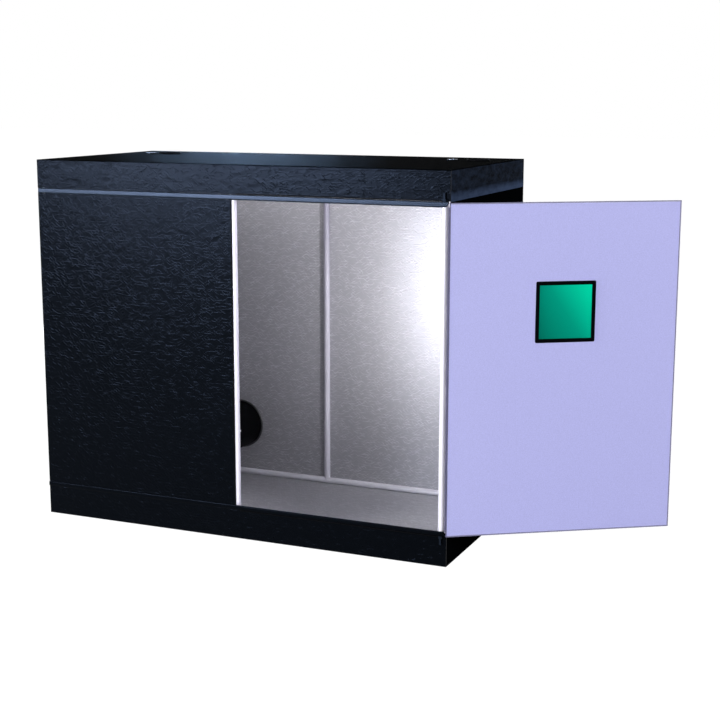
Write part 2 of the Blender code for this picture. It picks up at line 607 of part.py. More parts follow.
def make_port(name, radius, turn, at, into, trim, sleeve_look):
    """Duct port: a stiff ring sewn round the hole, and the fabric sleeve that a duct is tied in."""
    inner_face = -FABRIC - SEAM_GAP
    ring = pipe(radius + SEAM_GAP + PORT_RING_WIDTH, radius + SEAM_GAP, inner_face - PORT_RING_THICKNESS,
                inner_face, PORT_SIDES, turn)
    put_part(f"{name}_port_ring", ring, trim, at, smooth=True)
    sleeve = pipe(radius, radius - SLEEVE_WALL, -into, SLEEVE_OUTWARD, PORT_SIDES, turn)
    put_part(f"{name}_port_sleeve", sleeve, sleeve_look, at, smooth=True)


def make_ports(trim, sleeve_look):
    """Back duct port near the floor, and two smaller ports at the back of the roof."""
    make_port("back", BACK_PORT_RADIUS, ALONG_Y, (BACK_PORT_X, HALF_DEPTH, BACK_PORT_HEIGHT),
              BACK_SLEEVE_INWARD, trim, sleeve_look)
    for side, x in (("left_roof", LEFT_ROOF_PORT_X), ("right_roof", RIGHT_ROOF_PORT_X)):
        make_port(side, ROOF_PORT_RADIUS, ALONG_Z, (x, ROOF_PORT_Y, TENT_HEIGHT), ROOF_SLEEVE_DOWN, trim, sleeve_look)


def make_eyelets(look):
    """Two cable eyelets, with a flange on either side of the roof."""
    top = SEAM_GAP
    bottom = -FABRIC - SEAM_GAP
    shape = [(EYELET_BORE, top + EYELET_FLANGE_THICKNESS), (EYELET_FLANGE_RADIUS, top + EYELET_FLANGE_THICKNESS),
             (EYELET_FLANGE_RADIUS, top), (EYELET_RADIUS, top), (EYELET_RADIUS, bottom),
             (EYELET_FLANGE_RADIUS, bottom), (EYELET_FLANGE_RADIUS, bottom - EYELET_FLANGE_THICKNESS),
             (EYELET_BORE, bottom - EYELET_FLANGE_THICKNESS)]
    for side, x in (("left", LEFT_EYELET_X), ("right", RIGHT_EYELET_X)):
        put_part(f"{side}_cable_eyelet", turned(shape, 2 * TUBE_SIDES), look, (x, ROOF_PORT_Y, TENT_HEIGHT),
                 smooth=True)


def build():
    """Clear the scene and make every piece."""
    for item in list(bpy.data.objects):
        bpy.data.objects.remove(item)
    steel = make_look("white_powder_coated_steel", "F4F3F6", 0.35)
    plastic = make_look("white_moulded_nylon", "EEEDF1", 0.45)
    canvas = make_look("black_coated_canvas", "15181F", 0.5)
    lining = make_look("white_reflective_lining", "DEDDE0", 0.45)
    door_cloth = make_look("lavender_lined_canvas", "B3B4E4", 0.55)
    trim = make_look("slate_webbing", "6E7F9E", 0.6)
    chain = make_look("black_zip_chain", "101216", 0.4)
    slider = make_look("black_zinc_slider", "17181B", 0.35, 0.6)
    sheath = make_look("black_sleeve_cloth", "101114", 0.6)
    frame_black = make_look("black_window_binding", "08090B", 0.4)
    film = make_look("green_window_film", "0FA884", 0.2)
    make_corner_connectors(plastic)
    make_front_uprights(steel)
    make_back_uprights(steel)
    make_lock_buttons(plastic)
    make_long_rails(steel)
    make_side_rails(steel)
    make_hanging_bars(steel)
    make_walls(canvas)
    make_floor(lining)
    make_header(canvas)
    make_roof(canvas)
    make_top_strip(trim)
    make_sill(canvas)
    hinge = make_door_hinge(door_cloth)
    make_door(hinge, door_cloth, chain)
    make_window(hinge, frame_black, film)
    make_zip_chains(chain)
    make_zip_sliders(slider)
    make_ports(sheath, sheath)
    make_eyelets(slider)


build()
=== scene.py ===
import math
import random

import bmesh
import bpy
import numpy as np
from mathutils import Matrix, Vector


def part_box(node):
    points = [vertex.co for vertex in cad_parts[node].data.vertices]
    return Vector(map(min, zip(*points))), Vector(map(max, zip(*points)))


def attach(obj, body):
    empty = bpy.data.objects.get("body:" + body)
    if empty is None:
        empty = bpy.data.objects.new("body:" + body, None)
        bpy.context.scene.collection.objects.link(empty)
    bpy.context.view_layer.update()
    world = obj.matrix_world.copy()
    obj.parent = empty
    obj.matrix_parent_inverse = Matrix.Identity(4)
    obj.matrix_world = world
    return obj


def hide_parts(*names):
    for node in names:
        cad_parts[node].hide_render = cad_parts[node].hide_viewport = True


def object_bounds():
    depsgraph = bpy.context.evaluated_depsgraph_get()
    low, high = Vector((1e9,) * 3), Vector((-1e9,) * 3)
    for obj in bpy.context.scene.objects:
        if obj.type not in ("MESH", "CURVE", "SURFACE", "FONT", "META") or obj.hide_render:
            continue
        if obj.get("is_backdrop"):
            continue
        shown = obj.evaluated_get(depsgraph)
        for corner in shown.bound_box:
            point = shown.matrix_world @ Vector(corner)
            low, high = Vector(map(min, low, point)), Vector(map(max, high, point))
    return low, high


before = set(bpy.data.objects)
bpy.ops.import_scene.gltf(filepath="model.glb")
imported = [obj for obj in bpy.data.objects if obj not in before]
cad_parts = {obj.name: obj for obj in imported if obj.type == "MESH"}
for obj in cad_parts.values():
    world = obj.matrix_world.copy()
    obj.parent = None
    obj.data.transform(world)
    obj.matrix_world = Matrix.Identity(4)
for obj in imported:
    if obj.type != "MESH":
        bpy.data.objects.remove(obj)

cad_low, cad_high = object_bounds()


# Camera: at the photograph's viewing angle, a little above the tent and to the right of its middle,
# at the distance where the tent's corners fall on the photograph's.
camera_place = Vector((1.76538, -3.56163, 1.19727))
camera_heading = math.radians(-23.28)
camera_pitch = math.radians(-10.85)
camera_roll = math.radians(0.083)

forward = Vector((math.sin(camera_heading) * math.cos(camera_pitch),
                  math.cos(camera_heading) * math.cos(camera_pitch), math.sin(camera_pitch)))
level_right = forward.cross(Vector((0, 0, 1))).normalized()
level_up = level_right.cross(forward)
right = level_right * math.cos(camera_roll) + level_up * math.sin(camera_roll)
upward = right.cross(forward)
camera_data = bpy.data.cameras.new("photo_camera")
camera_data.lens = 71.38
camera_data.sensor_width = 36.0
camera = bpy.data.objects.new("photo_camera", camera_data)
bpy.context.scene.collection.objects.link(camera)
camera.matrix_world = Matrix((
    (right.x, upward.x, -forward.x, camera_place.x),
    (right.y, upward.y, -forward.y, camera_place.y),
    (right.z, upward.z, -forward.z, camera_place.z),
    (0, 0, 0, 1)))
bpy.context.scene.camera = camera
bpy.context.scene.view_settings.view_transform = "Standard"


# Studio: a white sweep of floor under a white surround. The camera and reflections see them as plain
# white, and the floor keeps a little of the tent's shadow.
def linear(code):
    """Linear colour for an sRGB hex code."""
    parts = [int(code[i:i + 2], 16) / 255 for i in (0, 2, 4)]
    return [p / 12.92 if p <= 0.04045 else ((p + 0.055) / 1.055) ** 2.4 for p in parts] + [1.0]


def add_node(tree, kind, inputs=None, tones=(), **settings):
    """One node with its settings, its ramp's places and colours, and a value or a link on each named input.

    A link comes from a socket, or from the first output of a node."""
    node = tree.nodes.new(kind)
    for name, value in settings.items():
        setattr(node, name, value)
    for index, (place, colour) in enumerate(tones):
        ramp = node.color_ramp.elements
        mark = ramp[index] if index < len(ramp) else ramp.new(place)
        mark.position = place
        mark.color = linear(colour)
    for name, value in (inputs or {}).items():
        if isinstance(value, bpy.types.Node):
            value = value.outputs[0]
        if isinstance(value, bpy.types.NodeSocket):
            tree.links.new(value, node.inputs[name])
        else:
            node.inputs[name].default_value = value
    return node


def seen_plainly(tree):
    """Node that is 1 on camera, glossy and transmission rays, for the white that these see."""
    path = add_node(tree, "ShaderNodeLightPath")
    camera_ray, glossy_ray = path.outputs["Is Camera Ray"], path.outputs["Is Glossy Ray"]
    direct = add_node(tree, "ShaderNodeMath", {0: camera_ray, 1: glossy_ray}, operation="MAXIMUM")
    return add_node(tree, "ShaderNodeMath", {0: direct, 1: path.outputs["Is Transmission Ray"]},
                    operation="MAXIMUM")


studio_white = linear("FFFFFF")
ambient_colour = linear("E9EAF6")
ambient_strength = 0.165

surround = bpy.data.worlds.new("studio_surround")
surround.use_nodes = True
tree = surround.node_tree
tree.nodes.clear()
seen = seen_plainly(tree)
plain = add_node(tree, "ShaderNodeBackground", {"Color": studio_white, "Strength": 1.0})
ambient = add_node(tree, "ShaderNodeBackground", {"Color": ambient_colour, "Strength": ambient_strength})
sky = add_node(tree, "ShaderNodeMixShader", {0: seen, 1: ambient, 2: plain})
add_node(tree, "ShaderNodeOutputWorld", {"Surface": sky})
bpy.context.scene.world = surround

floor_paint = bpy.data.materials.new("matt_white_floor_paint")
floor_paint.use_nodes = True
tree = floor_paint.node_tree
tree.nodes.clear()
seen = seen_plainly(tree)
lit = add_node(tree, "ShaderNodeBsdfDiffuse", {"Color": linear("F2F2F4")})
plain = add_node(tree, "ShaderNodeEmission", {"Color": studio_white, "Strength": 1.08})
lift = add_node(tree, "ShaderNodeMath", {0: seen, 1: 0.93}, operation="MULTIPLY")
paint = add_node(tree, "ShaderNodeMixShader", {0: lift, 1: lit, 2: plain})
add_node(tree, "ShaderNodeOutputMaterial", {"Surface": paint})

floor_reach = 30.0
floor_drop = 0.0005
sweep = bmesh.new()
bmesh.ops.create_grid(sweep, x_segments=4, y_segments=4, size=floor_reach)
floor_mesh = bpy.data.meshes.new("studio_floor")
sweep.to_mesh(floor_mesh)
sweep.free()
floor_mesh.materials.append(floor_paint)
studio_floor = bpy.data.objects.new("studio_floor", floor_mesh)
bpy.context.scene.collection.objects.link(studio_floor)
studio_floor.location.z = cad_low.z - floor_drop
studio_floor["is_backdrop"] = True


# Lights: a far softbox high on the right for the door, sheen cards that only the gloss sees, one at the
# front left and a graded row low behind, a light from the left along the front for the poles, one for the
# back and left walls, and inside the tent a work light by the door and a strip under the roof.
def softbox(name, place, target, width, height, watts, colour):
    """Area light at a place, turned to face a target."""
    data = bpy.data.lights.new(name, "AREA")
    data.shape = "RECTANGLE"
    data.size = width
    data.size_y = height
    data.energy = watts
    data.color = linear(colour)[:3]
    lamp = bpy.data.objects.new(name, data)
    bpy.context.scene.collection.objects.link(lamp)
    lamp.location = place
    lamp.rotation_euler = (Vector(target) - Vector(place)).to_track_quat("-Z", "Y").to_euler()
    lamp.visible_camera = False
    return lamp


softbox("door_softbox", (8.0, -3.8, 5.0), (0.85, -0.1, 0.5), 2.5, 2.5, 545.0, "F6F4FF")
front_card = softbox("front_sheen_card", (-1.75, -3.5, 1.2), (-0.1, -0.3, 0.9), 1.7, 0.6, 290.0, "E6ECFF")
front_card.visible_diffuse = False
row_middle, row_way = Vector((-1.80, 3.56, 1.2)), Vector((0.902, 0.431, 0))
card_aim = Vector((1.7, -3.56, -0.2))
row_watts = ((-0.77, 1.6), (-0.57, 5.4), (-0.37, 10.5), (-0.17, 14.5), (0.03, 11.3), (0.23, 5.4), (0.43, 1.4))
for aside, watts in row_watts:
    place = row_middle + row_way * aside
    card = softbox("roof_sheen_card", place, place + card_aim, 0.2, 0.24, watts, "A8CEFF")
    card.visible_diffuse = False
softbox("back_softbox", (-2.4, 2.6, 0.5), (-0.2, 0.2, 0.5), 1.2, 0.8, 120.0, "F2F4FF")
pole_light = softbox("pole_light", (-1.25, -1.83, 0.7), (0.3, -0.3, 0.5), 0.4, 0.8, 55.0, "FFFEFF")
pole_light.visible_glossy = False
softbox("cabin_light", (0.50, -0.10, 0.56), (0.56, 1.0, 1.0), 0.08, 0.08, 4.9, "FAF8FC")
softbox("roof_strip_light", (-0.15, 0.10, 0.95), (-0.15, 0.6, 0.80), 0.6, 0.04, 0.35, "FAF8FC")


# Frame tubes: cold-rolled steel tube, cut, necked and powder coated white. The coating gives an even,
# slightly lavender white with a faint orange peel. The front uprights' coat has mica in it, which makes it
# pearly. The back uprights carry painted shade: their white is painted grey, darker toward the top.
def new_finish(name, colour, roughness, **sockets):
    """Material with one Principled shader, its uniform values set on the shader's own sockets."""
    finish = bpy.data.materials.new(name)
    finish.use_nodes = True
    shader = finish.node_tree.nodes["Principled BSDF"]
    shader.inputs["Base Color"].default_value = linear(colour)
    shader.inputs["Roughness"].default_value = roughness
    for socket, value in sockets.items():
        shader.inputs[socket.replace("_", " ")].default_value = value
    return finish, finish.node_tree, shader


def dress(names, finish):
    """Put one finish on carried-over CAD nodes."""
    for name in names:
        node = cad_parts[name]
        node.data.materials.clear()
        node.data.materials.append(finish)


MM = 0.001


def fine_relief(tree, shader, size, detail, strength, deep, roughness=0.5):
    """Even relief over a finish, such as orange peel, mould grain or a weave, and its heights."""
    spot = add_node(tree, "ShaderNodeTexCoord")
    grain = add_node(tree, "ShaderNodeTexNoise", {"Vector": spot.outputs["Object"], "Scale": 1 / size,
                                                  "Detail": detail, "Roughness": roughness})
    bump = add_node(tree, "ShaderNodeBump", {"Height": grain, "Strength": strength, "Distance": deep})
    tree.links.new(bump.outputs["Normal"], shader.inputs["Normal"])
    return grain


peel_size = 1.6 * MM
peel_strength, peel_deep = 0.12, 0.1 * MM
powder_coat, tree, shader = new_finish("white_powder_coated_steel", "F9F8FE", 0.4, IOR=1.5)
fine_relief(tree, shader, peel_size, 2.0, peel_strength, peel_deep)
pearl_coat, tree, shader = new_finish("pearl_white_powder_coated_steel", "F6F4FE", 0.36, Metallic=0.5)
fine_relief(tree, shader, peel_size, 2.0, peel_strength, peel_deep)
# Painted shade: the back uprights' white is painted grey, darker toward the top.
shaded_back_coat, tree, shader = new_finish("powder_coated_steel_with_painted_shade", "BCBAC9", 0.4, IOR=1.5)
fine_relief(tree, shader, peel_size, 2.0, peel_strength, peel_deep)
spot = add_node(tree, "ShaderNodeTexCoord")
parts = add_node(tree, "ShaderNodeSeparateXYZ", {"Vector": spot.outputs["Object"]})
painted_shade_height = add_node(tree, "ShaderNodeMapRange", {"Value": parts.outputs["Z"], "From Min": 0.08,
                                               "From Max": 0.92})
tone = add_node(tree, "ShaderNodeValToRGB", {"Fac": painted_shade_height}, tones=((0.0, "F2F0F8"), (1.0, "8A8897")))
tree.links.new(tone.outputs["Color"], shader.inputs["Base Color"])
tubes = [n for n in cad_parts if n.endswith(("_upright", "_rail", "_hanging_bar"))]
dress(tubes, powder_coat)
dress([n for n in tubes if n.startswith("front_") and n.endswith("_upright")], pearl_coat)
dress([n for n in tubes if n.startswith("back_") and n.endswith("_upright")], shaded_back_coat)


# Connectors and lock buttons: injection-moulded white nylon, pressed into the tube ends. Moulding
# leaves a fine spark-eroded grain and a slightly waxy look.
grain_size = 0.7 * MM
moulded_nylon, tree, shader = new_finish("white_moulded_nylon", "ECEBF1", 0.48, IOR=1.53,
                                         Subsurface_Weight=0.05)
fine_relief(tree, shader, grain_size, 3.0, 0.2, 0.08 * MM)
dress([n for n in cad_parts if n.endswith(("_connector", "_lock_button"))], moulded_nylon)


# Cover: woven polyester coated black outside and laminated with white film inside, cut flat and sewn.
# It was packed folded, so it keeps a net of short sharp creases, most of them level or slanting.
seam_gap = 0.3 * MM
crease_count_per_m2 = 700
hem_width = 12 * MM
crease_slants = (0, 4, -5, 32, 41, -35, -28, 62, 84)
crease_weights = (26, 14, 12, 14, 9, 12, 7, 3, 3)


def creases(us, vs, depth, seed):
    """Heights of the creases over a grid of places, fading out at the panel's sewn edges."""
    draw = random.Random(seed)
    width, height = us[-1] - us[0], vs[-1] - vs[0]
    heights = np.zeros((len(vs), len(us)))
    grid_u, grid_v = np.meshgrid(us, vs)
    for _ in range(int(crease_count_per_m2 * width * height)):
        slant = math.radians(draw.choices(crease_slants, crease_weights)[0] + draw.gauss(0, 6))
        long = draw.uniform(24, 80) * MM
        narrow = draw.uniform(4.0, 7.0) * MM
        bow = draw.gauss(0, 2.5)
        rise = depth * draw.uniform(0.35, 1.0)
        at_u, at_v = draw.uniform(us[0], us[-1]), draw.uniform(vs[0], vs[-1])
        rows = slice(*np.searchsorted(vs, (at_v - long, at_v + long)))
        cols = slice(*np.searchsorted(us, (at_u - long, at_u + long)))
        du, dv = grid_u[rows, cols] - at_u, grid_v[rows, cols] - at_v
        along = (du * math.cos(slant) + dv * math.sin(slant)) / (long / 2)
        across = dv * math.cos(slant) - du * math.sin(slant) - bow * (along * long / 2) ** 2
        taper = np.clip(1 - along ** 2, 0, 1) ** 1.5
        ridge = np.exp(-(across / narrow) ** 2) - 0.75 * np.exp(-((across + 1.5 * narrow) / narrow) ** 2)
        heights[rows, cols] += rise * taper * ridge
    edge = np.minimum(np.minimum(grid_u - us[0], us[-1] - grid_u),
                      np.minimum(grid_v - vs[0], vs[-1] - grid_v))
    fade = np.clip(edge / hem_width, 0, 1)
    return heights * fade * fade * (3 - 2 * fade)


def stops(start, end, pitch, marks=()):
    """Even steps from start to end that also land on each mark."""
    fixed = sorted({start, end, *[m for m in marks if start < m < end]})
    steps = [np.linspace(a, b, max(1, round((b - a) / pitch)) + 1)[:-1] for a, b in zip(fixed, fixed[1:])]
    return np.append(np.concatenate(steps), end)


def skin(name, corner, across, up, size, finish, body, seed, pitch=8 * MM, depth=0.22 * MM,
         top=0.3 * MM, round_holes=(), square_holes=(), turn_back=0.75 * MM):
    """One skin of a sewn panel: a creased face on the side of across x up, turned back round its rims."""
    corner, across, up = Vector(corner), Vector(across), Vector(up)
    face_out = across.cross(up)
    width, height = size
    marks_u = [u + way * half for u, v, half in square_holes for way in (-1, 1)]
    marks_v = [v + way * half for u, v, half in square_holes for way in (-1, 1)]
    us, vs = stops(0, width, pitch, marks_u), stops(0, height, pitch, marks_v)
    heights = np.minimum(creases(us, vs, depth, seed), top)
    cloth = bmesh.new()
    verts = [[None] * len(us) for _ in vs]
    for row, v in enumerate(vs):
        for col, u in enumerate(us):
            rise = heights[row, col]
            for hole_u, hole_v, radius in round_holes:
                gap = math.hypot(u - hole_u, v - hole_v)
                rise *= min(max((gap - radius) / hem_width, 0), 1)
            place = corner + across * float(u) + up * float(v) + face_out * float(rise)
            verts[row][col] = cloth.verts.new(place)
    for row in range(len(vs) - 1):
        for col in range(len(us) - 1):
            mid_u, mid_v = (us[col] + us[col + 1]) / 2, (vs[row] + vs[row + 1]) / 2
            if any(math.hypot(mid_u - u, mid_v - v) < radius for u, v, radius in round_holes):
                continue
            if any(abs(mid_u - u) < half and abs(mid_v - v) < half for u, v, half in square_holes):
                continue
            cloth.faces.new((verts[row][col], verts[row][col + 1],
                             verts[row + 1][col + 1], verts[row + 1][col]))
    bmesh.ops.delete(cloth, geom=[v for v in cloth.verts if not v.link_faces], context="VERTS")
    rim = [e for e in cloth.edges if e.is_boundary]
    for hole_u, hole_v, radius in round_holes:
        centre = corner + across * hole_u + up * hole_v
        for vert in {v for e in rim for v in e.verts if (v.co - centre).length < radius + 1.5 * pitch}:
            vert.co = centre + (vert.co - centre).normalized() * radius
    turned = {}
    for edge in rim:
        way = edge.link_loops[0]
        start, end = way.vert, way.link_loop_next.vert
        for vert in (start, end):
            if vert not in turned:
                turned[vert] = cloth.verts.new(vert.co - face_out * turn_back)
        cloth.faces.new((end, start, turned[start], turned[end]))
    bmesh.ops.recalc_face_normals(cloth, faces=cloth.faces)
    if cloth.faces[:][0].normal.dot(face_out) < 0:
        bmesh.ops.reverse_faces(cloth, faces=cloth.faces)
    panel_metres = cloth.loops.layers.uv.new("panel_metres")
    for face in cloth.faces:
        for loop in face.loops:
            reach = loop.vert.co - corner
            loop[panel_metres].uv = (reach.dot(across) + 0.37 * seed, reach.dot(up) + 0.61 * seed)
    mesh = bpy.data.meshes.new(name)
    cloth.to_mesh(mesh)
    cloth.free()
    mesh.materials.append(finish)
    mesh.shade_smooth()
    mesh.set_sharp_from_angle(angle=math.radians(50))
    panel = bpy.data.objects.new(name, mesh)
    bpy.context.scene.collection.objects.link(panel)
    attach(panel, body)
    return panel


# The creases too fine for the mesh: slant in degrees, then longest, apart and half width in mm, share
# of places that have one, and height. Real ones are thinner, and are drawn this wide so that they show.
fine_creases = ((1, 46, 8, 1.4, 0.56, 1.0), (-6, 34, 8, 1.3, 0.46, 0.8), (33, 27, 7, 1.3, 0.56, 1.0),
                (-35, 26, 7, 1.3, 0.56, 1.0), (24, 37, 9, 1.4, 0.44, 0.9), (-62, 20, 9, 1.3, 0.40, 0.7))
sway_size, sway_reach = 55 * MM, 9 * MM


def crinkle(tree, shader, height, weave_strength):
    """Fine creases along a panel's own width and height over the weave; returns the creases' heights, which
    some finishes use to paint highlights along the ridges.
    """
    spot = add_node(tree, "ShaderNodeTexCoord")
    sway = add_node(tree, "ShaderNodeTexNoise", {"Vector": spot.outputs["UV"], "Scale": 1 / sway_size,
                                                 "Detail": 1.0})
    drift = add_node(tree, "ShaderNodeVectorMath", {0: sway.outputs["Color"], 1: (0.5, 0.5, 0.5)},
                     operation="SUBTRACT")
    drift = add_node(tree, "ShaderNodeVectorMath", {0: drift, "Scale": sway_reach}, operation="SCALE")
    place = add_node(tree, "ShaderNodeVectorMath", {0: spot.outputs["UV"], 1: drift}, operation="ADD")
    total = None
    for index, (slant, longest, apart, half_width, share, rise) in enumerate(fine_creases):
        turned = add_node(tree, "ShaderNodeVectorRotate", {"Vector": place, "Angle": math.radians(-slant)},
                          rotation_type="Z_AXIS")
        cells_per_metre = (1 / (longest * MM), 1 / (apart * MM), 0)
        scaled = add_node(tree, "ShaderNodeVectorMath", {0: turned, 1: cells_per_metre}, operation="MULTIPLY")
        parts = add_node(tree, "ShaderNodeSeparateXYZ", {"Vector": scaled})
        row = add_node(tree, "ShaderNodeMath", {0: parts.outputs["Y"]}, operation="FLOOR")
        shuffle = add_node(tree, "ShaderNodeTexWhiteNoise", {"W": row}, noise_dimensions="1D")
        along = add_node(tree, "ShaderNodeMath", {0: parts.outputs["X"], 1: shuffle}, operation="ADD")
        cell = add_node(tree, "ShaderNodeMath", {0: along}, operation="FLOOR")
        key = add_node(tree, "ShaderNodeCombineXYZ", {"X": cell, "Y": row, "Z": index * 1.7})
        chance = add_node(tree, "ShaderNodeTexWhiteNoise", {"Vector": key}, noise_dimensions="3D")
        lots = add_node(tree, "ShaderNodeSeparateColor", {"Color": chance.outputs["Color"]})
        there = add_node(tree, "ShaderNodeMath", {0: chance, 1: share}, operation="LESS_THAN")
        in_cell = add_node(tree, "ShaderNodeMath", {0: along, 1: cell}, operation="SUBTRACT")
        off_middle = add_node(tree, "ShaderNodeMath", {0: in_cell, 1: 0.5}, operation="SUBTRACT")
        in_row = add_node(tree, "ShaderNodeMath", {0: parts.outputs["Y"], 1: row}, operation="SUBTRACT")
        line = add_node(tree, "ShaderNodeMapRange", {"Value": lots.outputs["Red"], "To Min": 0.3,
                                                     "To Max": 0.7})
        off_line = add_node(tree, "ShaderNodeMath", {0: in_row, 1: line}, operation="SUBTRACT")
        aside = add_node(tree, "ShaderNodeMath", {0: off_line}, operation="ABSOLUTE")
        ridge = add_node(tree, "ShaderNodeMapRange", {"Value": aside, "From Max": half_width / apart,
                                                      "To Min": 1.0, "To Max": 0.0},
                         interpolation_type="SMOOTHSTEP")
        end = add_node(tree, "ShaderNodeMath", {0: off_middle}, operation="ABSOLUTE")
        taper = add_node(tree, "ShaderNodeMapRange", {"Value": end, "From Min": 0.05, "From Max": 0.48,
                                                      "To Min": 1.0, "To Max": 0.0},
                         interpolation_type="SMOOTHSTEP")
        level = add_node(tree, "ShaderNodeMapRange", {"Value": lots.outputs["Green"], "To Min": 0.3 * rise,
                                                      "To Max": rise})
        crease = ridge
        for factor in (taper, level, there):
            crease = add_node(tree, "ShaderNodeMath", {0: crease, 1: factor}, operation="MULTIPLY")
        total = crease if total is None else add_node(tree, "ShaderNodeMath", {0: total, 1: crease},
                                                      operation="ADD")
    folds = add_node(tree, "ShaderNodeBump", {"Height": total, "Strength": 1.0, "Distance": height})
    weave = add_node(tree, "ShaderNodeTexNoise", {"Vector": spot.outputs["Object"], "Scale": 1 / thread,
                                                  "Detail": 2.0})
    surface = add_node(tree, "ShaderNodeBump", {"Height": weave, "Strength": weave_strength,
                                                "Distance": 0.08 * MM, "Normal": folds})
    tree.links.new(surface.outputs["Normal"], shader.inputs["Normal"])
    return total


def rubbed(tree):
    """Cloudy marks where the coat has rubbed, drawn out along its band."""
    spot = add_node(tree, "ShaderNodeTexCoord")
    run = add_node(tree, "ShaderNodeVectorMath", {0: spot.outputs["Object"], 1: (0.45, 0.4, 1.0)},
                   operation="MULTIPLY")
    return add_node(tree, "ShaderNodeTexNoise", {"Vector": run, "Scale": 1 / rub_size, "Detail": 4.0,
                                                 "Roughness": 0.65})


thread = 1.1 * MM
rub_size = 12 * MM
cool_sheen = linear("C4DCFF")
coated_canvas, tree, shader = new_finish("black_coated_polyester_canvas", "020305", 0.26, IOR=1.12,
                                         Specular_Tint=cool_sheen)
crinkle(tree, shader, 0.23 * MM, 0.05)

side_canvas, tree, shader = new_finish("black_canvas_with_worn_coat", "141A26", 0.35, IOR=1.015,
                                       Specular_Tint=cool_sheen)
crinkle(tree, shader, 0.5 * MM, 0.05)
tone = add_node(tree, "ShaderNodeValToRGB", {"Fac": rubbed(tree)}, tones=((0.36, "0C1118"), (0.66, "1F2835")))
tree.links.new(tone.outputs["Color"], shader.inputs["Base Color"])

# Painted highlights: the wall canvas's black is painted lighter along the crease ridges.
wall_canvas, tree, shader = new_finish("black_canvas_with_painted_crease_highlights", "0D1219", 0.34, IOR=1.06,
                                       Specular_Tint=cool_sheen)
marks = crinkle(tree, shader, 0.4 * MM, 0.05)
tone = add_node(tree, "ShaderNodeValToRGB", {"Fac": marks}, tones=((0.0, "0B0F15"), (1.0, "151C26")))
tree.links.new(tone.outputs["Color"], shader.inputs["Base Color"])

dull_canvas, tree, shader = new_finish("black_canvas_with_dull_coat", "020304", 0.42, IOR=1.003)
crinkle(tree, shader, 0.25 * MM, 0.08)

# Painted highlights: the lining's white is painted lighter along the crease ridges.
white_lining, tree, shader = new_finish("white_film_laminate", "B2B2B6", 0.5, IOR=1.45, Metallic=0.2)
marks = crinkle(tree, shader, 0.8 * MM, 0.05)
tone = add_node(tree, "ShaderNodeValToRGB", {"Fac": marks}, tones=((0.0, "AEAEB2"), (1.0, "D2D2D6")))
tree.links.new(tone.outputs["Color"], shader.inputs["Base Color"])

black_slot, white_slot = "black_coated_canvas", "white_reflective_lining"
X, Y, Z = Vector((1, 0, 0)), Vector((0, 1, 0)), Vector((0, 0, 1))
fine_pitch = 4 * MM
lining_inset = 2.4 * MM
anywhere = 9.0


def two_skins(node, outward, seed, outer=coated_canvas, pitch=8 * MM, inner_pitch=8 * MM, round_holes=(),
              clip_low=None, clip_high=None, overlap=seam_gap):
    """Black outer skin, turned in over the edges, and white lining of one flat panel, from its CAD node."""
    low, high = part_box(node)
    low = Vector([max(a, b) for a, b in zip(low, clip_low or low)])
    high = Vector([min(a, b) for a, b in zip(high, clip_high or high)])
    if outward.x:
        across, up, size = Y * outward.x, Z, (high.y - low.y, high.z - low.z)
    elif outward.y:
        across, up, size = X * -outward.y, Z, (high.x - low.x, high.z - low.z)
    else:
        across, up, size = X * outward.z, Y, (high.x - low.x, high.y - low.y)
    middle = (low + high) / 2
    thick = abs((high - low).dot(outward))
    outside = ("outer", 1, outer, black_slot, pitch, 0.35 * MM)
    inside = ("lining", -1, white_lining, white_slot, inner_pitch, 0.2 * MM)
    for kind, way, finish, slot, step, top in (outside, inside):
        side = across * way
        inset = 0 if way > 0 else lining_inset
        cut = (size[0] - 2 * inset, size[1] - 2 * inset)
        corner = middle + outward * (way * thick / 2) - side * (cut[0] / 2) - up * (cut[1] / 2)
        holes = [((place - corner).dot(side), (place - corner).dot(up), radius + inset)
                 for place, radius in round_holes]
        piece = skin(f"{node}_{kind}", corner, side, up, cut, finish, "tent", seed + (way < 0), step,
                     top=top, round_holes=holes, turn_back=thick + overlap if way > 0 else thick * 0.15)
        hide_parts(node)


def middle_and_radius(node, along):
    """Middle of a round node and its radius, across the direction that it runs along."""
    low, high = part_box(node)
    return (low + high) / 2, (high - low).dot(Z if along == X else X) / 2


back_port_place, back_port_radius = middle_and_radius("back_port_sleeve", Y)
two_skins("front_panel", -Y, 11, pitch=fine_pitch)
two_skins("back_wall", Y, 21, outer=wall_canvas, pitch=6 * MM, inner_pitch=fine_pitch,
          round_holes=[(back_port_place, back_port_radius)])
two_skins("left_wall", -X, 31, outer=wall_canvas, pitch=6 * MM)
wall_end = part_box("left_wall")[0].y
two_skins("right_wall", X, 101, outer=dull_canvas, clip_low=(-anywhere, wall_end, -anywhere))


# Floor sheet: the same laminate laid white side up inside the walls, with its black side down.
two_skins("floor_sheet", -Z, 91, inner_pitch=6 * MM, overlap=0.0)


# Header and roof: a band round the top of the walls and one flat panel over it, with round holes for
# the ports and eyelets. The roof's coating has been rubbed dull by folding.
two_skins("header_front", -Y, 41, pitch=fine_pitch)
two_skins("header_right", X, 71, outer=side_canvas, pitch=fine_pitch)
two_skins("header_left", -X, 61, outer=side_canvas)
two_skins("header_back", Y, 51, outer=wall_canvas)
eyelet_flange = 3.5 * MM
roof_holes = []
for node in ("left_roof_port_sleeve", "right_roof_port_sleeve", "left_cable_eyelet", "right_cable_eyelet"):
    place, radius = middle_and_radius(node, Z)
    roof_holes.append((place, radius if "port" in node else radius - eyelet_flange))
two_skins("roof_panel", Z, 81, outer=dull_canvas, round_holes=roof_holes)


